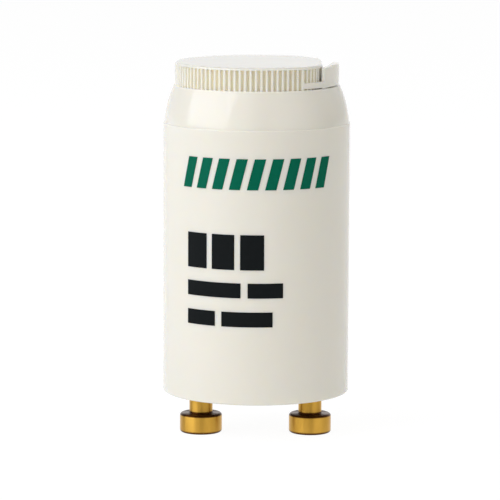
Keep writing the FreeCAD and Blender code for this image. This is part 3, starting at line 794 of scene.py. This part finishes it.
class STARTER_OT_print(bpy.types.Operator):
    """Lay the printed bars round the can"""
    bl_idname = "starter.print"
    bl_label = "Print the Bars"
    bl_options = {"REGISTER", "UNDO"}

    def execute(self, context):
        ink, tree = settings("ink"), printed_row_tree()
        green = printed_ink("print_green_ink", ink.green, ink.thin_green)
        black = printed_ink("print_black_ink", ink.black, ink.thin_black)
        self.lay("print_green", "green_ink", green, [GREEN_ROW], tree)
        self.lay("print_black", "black_ink", black, [BLOCK_ROW, *dash_rows()], tree)
        return {"FINISHED"}

    def lay(self, node, slot, made_of, rows, tree):
        """One colour of ink as one piece."""
        can, ink = settings("can"), settings("ink")
        joined = bmesh.new()
        for row in rows:
            pitch = (row.right - row.left) / (row.count - 1 + row.share) * MM
            width, height = pitch * row.share, row.height * MM
            first = (row.left * MM + width / 2, -can.radius - ink.thickness / 2,
                     can.rim_height + row.bottom * MM + height / 2)
            strip = link("strip", bpy.data.meshes.new("strip"))
            run_tree(strip, tree, {
                "Count": row.count, "Bar Size": (width, ink.thickness, height), "First": first,
                "Pitch": pitch, "Lean": row.slant * MM / height, "Wall Radius": can.radius,
                "Material": made_of})
            bars = plain_mesh(strip, "strip")
            joined.from_mesh(bars.data)
            bpy.data.objects.remove(bars)
        finish_piece(object_from(joined, "blank"), node + "_film", made_of, node)


# The pins

def pin_section():
    """A contact pin in section, from its flat end up to the staked tail."""
    pins = settings("pins")
    head, edge, foot, stake = pins.head_radius, pins.head_edge, pins.neck_foot, pins.stake_edge
    section = [(0.0, 0.0)] + rounding(head - edge, edge, edge, -90, 0, 8)
    section += rounding(head - edge, pins.head_height - edge, edge, 0, 90, 8)
    section += rounding(pins.neck_radius + foot, pins.head_height + foot, foot, 270, 180)
    stake_foot = PIN_HIGH.z - pins.stake_height
    section += [(pins.neck_radius, DISC_BOTTOM), (pins.shank_radius, DISC_BOTTOM),
                (pins.shank_radius, stake_foot), (pins.stake_radius, stake_foot)]
    section += rounding(pins.stake_radius - stake, PIN_HIGH.z - stake, stake, 0, 90)
    return section + [(0.0, PIN_HIGH.z)]


class STARTER_OT_pins(bpy.types.Operator):
    """Turn the two brass contact pins"""
    bl_idname = "starter.pins"
    bl_label = "Turn the Pins"
    bl_options = {"REGISTER", "UNDO"}

    def execute(self, context):
        pins, brass = settings("pins"), turned_brass()
        for side, node in ((-1, "contact_pin_left"), (1, "contact_pin_right")):
            blank = turned(node + "_blank", pin_section(), pins.segments, side * pins.offset)
            finish_piece(blank, node + "_turned", brass, node)
        return {"FINISHED"}


# The disc and the inner parts keep the shapes that they have in the frame

INNER_PARTS = [
    # Thermoset plastic, moulded: matt
    (plain_solid, "moulded_disc", "#DAD7CC", "#CFCBBE", 0.45, 3.0, ["base_disc"]),
    # Brass sheet under a dip of tin: dull silver, a little warm
    (plain_metal, "tinned_brass", "#D2D0CA", "#BDBBB2", 0.32, 1.0,
     ["solder_tag_left", "solder_tag_right"]),
    # Tin solder, frozen from the melt: a bright grey bead
    (plain_metal, "solder", "#C9CACB", "#AEB0B2", 0.28, 0.6, ["solder_left", "solder_right"]),
    # Copper wire, tinned and drawn: bright and cool
    (plain_metal, "tinned_wire", "#C4C6C6", "#A9ABAC", 0.3, 0.5,
     ["bulb_lead_left", "bulb_lead_right", "capacitor_lead_lower", "capacitor_lead_upper"]),
    # Nickel rod, drawn: a warmer grey
    (plain_metal, "drawn_nickel", "#C2BDB2", "#A8A297", 0.3, 0.5, ["fixed_electrode"]),
    # Bimetal strip, rolled: darker, with a faint heat tint
    (plain_metal, "rolled_bimetal", "#B9B4A9", "#94897B", 0.35, 0.8, ["bimetal_strip"]),
    # Polyester film tape, wound: amber and fairly glossy
    (plain_solid, "film_wrap", "#C98A1E", "#B87A16", 0.3, 2.0, ["capacitor_roll"]),
    # Epoxy resin, poured: dark brown with a soft gloss
    (plain_solid, "cast_resin", "#5B3A20", "#4A2E19", 0.4, 0.8,
     ["capacitor_seal_lower", "capacitor_seal_upper"]),
    # Vinyl tube, extruded: ivory and satin
    (plain_solid, "sleeve_vinyl", "#E9E5D8", "#DDD8C9", 0.5, 1.0, ["lead_sleeve"]),
]


class STARTER_OT_inside(bpy.types.Operator):
    """Give the disc and the inner parts their finish"""
    bl_idname = "starter.inside"
    bl_label = "Finish the Inner Parts"
    bl_options = {"REGISTER", "UNDO"}

    def execute(self, context):
        for finish, name, low, high, roughness, size, nodes in INNER_PARTS:
            self.dress(finish(name, low, high, roughness, size * MM), nodes)
        self.dress(blown_glass(), ["bulb_glass"])
        return {"FINISHED"}

    def dress(self, made_of, nodes):
        """Gives each node's own mesh the material."""
        for node in nodes:
            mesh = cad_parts[node].data
            mesh.materials.clear()
            mesh.materials.append(made_of)


# The stage

WHITE = (1, 1, 1, 1)
FLOOR_REACH = 3.0
AIM = Vector((0.0, 0.0, 0.025))
SENSOR = 36
CLIP = (0.01, 20)
KEY_SIZE = (0.66, 0.5)
KEY_DISTANCE = 0.5
KEY_HEIGHT = 0.28
TOP_SIZE = (0.5, 0.4)
TOP_PLACE = Vector((0.0, -0.1, 0.6))

# The walls round the object: the direction of each, and how sharply its light fades round that
Wall = namedtuple("Wall", "axis sharpness")
BACKDROP = Wall((0.0, 1.0, 0.1), 6.0)
WHITE_SEEN = Wall(BACKDROP.axis, 2.0)
REFLECTOR = Wall((0.8, -0.55, 0.25), 6.0)
LEFT_WALL = Wall((-0.85, -0.5, 0.15), 4.0)
EDGE_LIGHT = Wall((0.72, 0.5, 0.5), 8.0)
FRONT_WALL = Wall((0.0, -1.0, 0.0), 2.0)

# The opening in the front wall: its middle, its edges either side of it, and the light it gives
OPENING_AT = 0.12
OPENING_EDGES = (0.12, 0.34)
OPENING_SHADE = 0.3


def make_camera():
    """The camera at the photograph's viewing angle."""
    stage = settings("stage")
    camera = link("camera", bpy.data.cameras.new("camera"))
    camera.data.lens = stage.lens
    camera.data.sensor_width = SENSOR
    camera.data.clip_start, camera.data.clip_end = CLIP
    look = (Matrix.Rotation(stage.camera_turn, 4, "Z")
            @ Matrix.Rotation(math.pi / 2 - stage.camera_pitch, 4, "X")
            @ Matrix.Rotation(stage.camera_roll, 4, "Z"))
    place = Matrix.Translation((0, -stage.camera_distance, stage.camera_height))
    camera.matrix_world = place @ look
    bpy.context.scene.camera = camera


def seen(tree, where=1.0):
    """1 for rays that show the surroundings as they are: from the camera, and, where wanted, from
    metal or glass."""
    path = add(tree, "ShaderNodeLightPath").outputs
    shown = add(tree, "ShaderNodeMath", {0: path["Is Glossy Ray"], 1: path["Is Transmission Ray"]},
                operation="MAXIMUM")
    there = add(tree, "ShaderNodeMath", {0: shown, 1: where}, operation="MULTIPLY")
    return add(tree, "ShaderNodeMath", {0: there, 1: path["Is Camera Ray"]}, operation="MAXIMUM")


def make_floor():
    """White paper: seen near white, with the object's own shadow on it."""
    stage = settings("stage")
    bm = bmesh.new()
    bmesh.ops.create_grid(bm, x_segments=2, y_segments=2, size=FLOOR_REACH)
    floor = object_from(bm, "studio_floor")
    paper, tree = new_material("floor_paper")
    matt = add(tree, "ShaderNodeBsdfPrincipled", {"Base Color": colour(stage.floor),
                                                  "Roughness": 0.9})
    glow = add(tree, "ShaderNodeEmission", {"Color": WHITE, "Strength": stage.paper_glow})
    white = add(tree, "ShaderNodeMath", {0: seen(tree), 1: 1 - stage.shadow_share},
                operation="MULTIPLY")
    mix = add(tree, "ShaderNodeMixShader", {"Fac": white, 1: matt, 2: glow})
    add(tree, "ShaderNodeOutputMaterial", {"Surface": mix})
    floor.data.materials.append(paper)


def side_light(tree, towards, wall, strength):
    """Soft light from one wall: strongest along its axis and fading all round it."""
    facing = add(tree, "ShaderNodeVectorMath", {0: towards, 1: wall.axis},
                 operation="DOT_PRODUCT").outputs["Value"]
    ahead = add(tree, "ShaderNodeMath", {0: facing, 1: 0.0}, operation="MAXIMUM")
    soft = add(tree, "ShaderNodeMath", {0: ahead, 1: wall.sharpness}, operation="POWER")
    return add(tree, "ShaderNodeMath", {0: soft, 1: strength}, operation="MULTIPLY")


def make_studio():
    """The studio as a world: a white backdrop, soft light from both sides and from behind, and a
    pale wall in front with a darker opening round the camera."""
    stage = settings("stage")
    world = bpy.data.worlds.new("studio")
    bpy.context.scene.world = world
    world.use_nodes = True
    tree = world.node_tree
    tree.nodes.clear()
    towards = add(tree, "ShaderNodeTexCoord").outputs["Generated"]
    across = add(tree, "ShaderNodeSeparateXYZ", {0: towards}).outputs["X"]
    aside = add(tree, "ShaderNodeMath", {0: across, 1: OPENING_AT}, operation="SUBTRACT")
    aside = add(tree, "ShaderNodeMath", {0: aside}, operation="ABSOLUTE")
    opening = add(tree, "ShaderNodeMapRange", {
        "Value": aside, "From Min": OPENING_EDGES[0], "From Max": OPENING_EDGES[1],
        "To Min": OPENING_SHADE}, interpolation_type="SMOOTHSTEP")
    front = side_light(tree, towards, FRONT_WALL, stage.front_level)
    light = add(tree, "ShaderNodeMath", {0: front, 1: opening}, operation="MULTIPLY")
    for wall, strength in ((BACKDROP, stage.back_level), (LEFT_WALL, stage.left_level),
                           (REFLECTOR, stage.right_level), (EDGE_LIGHT, stage.edge_level)):
        more = side_light(tree, towards, wall, strength)
        light = add(tree, "ShaderNodeMath", {0: light, 1: more}, operation="ADD")
    behind = side_light(tree, towards, WHITE_SEEN, 1.0)
    strength = add(tree, "ShaderNodeMix", {"Factor": seen(tree, behind), "A": light, "B": 1.0},
                   data_type="FLOAT")
    sky = add(tree, "ShaderNodeBackground", {"Color": WHITE, "Strength": strength})
    add(tree, "ShaderNodeOutputWorld", {"Surface": sky})


def soft_box(name, place, size, watts, tint):
    """A rectangular soft box that points at the object."""
    lamp = bpy.data.lights.new(name, "AREA")
    lamp.shape = "RECTANGLE"
    lamp.size, lamp.size_y = size
    lamp.energy = watts
    lamp.color = colour(tint)[:3]
    made = link(name, lamp)
    made.location = place
    made.rotation_euler = (AIM - place).to_track_quat("-Z", "Y").to_euler()


def make_lamps():
    """A large soft box at the left, which shows as a bright field on the cone, and one overhead."""
    stage = settings("stage")
    soft_box("key_softbox", around(KEY_DISTANCE, stage.key_angle, KEY_HEIGHT), KEY_SIZE,
             stage.key_power, stage.key_tint)
    soft_box("top_softbox", TOP_PLACE, TOP_SIZE, stage.top_power, stage.top_tint)


class STARTER_OT_stage(bpy.types.Operator):
    """Make the floor, the studio light and the camera"""
    bl_idname = "starter.stage"
    bl_label = "Build the Stage"
    bl_options = {"REGISTER", "UNDO"}

    def execute(self, context):
        context.scene.view_settings.view_transform = "Standard"
        make_camera()
        make_floor()
        make_studio()
        make_lamps()
        return {"FINISHED"}


# The panel

OPERATORS = [STARTER_OT_stage, STARTER_OT_can, STARTER_OT_print, STARTER_OT_pins,
             STARTER_OT_inside]


class STARTER_PT_panel(bpy.types.Panel):
    """Sidebar panel with the sizes and the build buttons"""
    bl_label = "Starter"
    bl_idname = "STARTER_PT_panel"
    bl_space_type = "VIEW_3D"
    bl_region_type = "UI"
    bl_category = "Starter"

    def draw(self, context):
        for kind in OPERATORS:
            self.layout.operator(kind.bl_idname)
        for group, kind in SETTINGS.items():
            box = self.layout.box()
            box.label(text=group.capitalize())
            for field in kind.__annotations__:
                box.prop(settings(group), field)


CLASSES = [*SETTINGS.values(), *OPERATORS, STARTER_PT_panel]


def register():
    for kind in CLASSES:
        bpy.utils.register_class(kind)
    for group, kind in SETTINGS.items():
        setattr(bpy.types.Scene, "starter_" + group, PointerProperty(type=kind))


def unregister():
    for group in SETTINGS:
        delattr(bpy.types.Scene, "starter_" + group)
    for kind in reversed(CLASSES):
        bpy.utils.unregister_class(kind)


def main():
    register()
    bpy.ops.starter.stage()
    bpy.ops.starter.can()
    bpy.ops.starter.print()
    bpy.ops.starter.pins()
    bpy.ops.starter.inside()


if __name__ == "__main__":
    main()
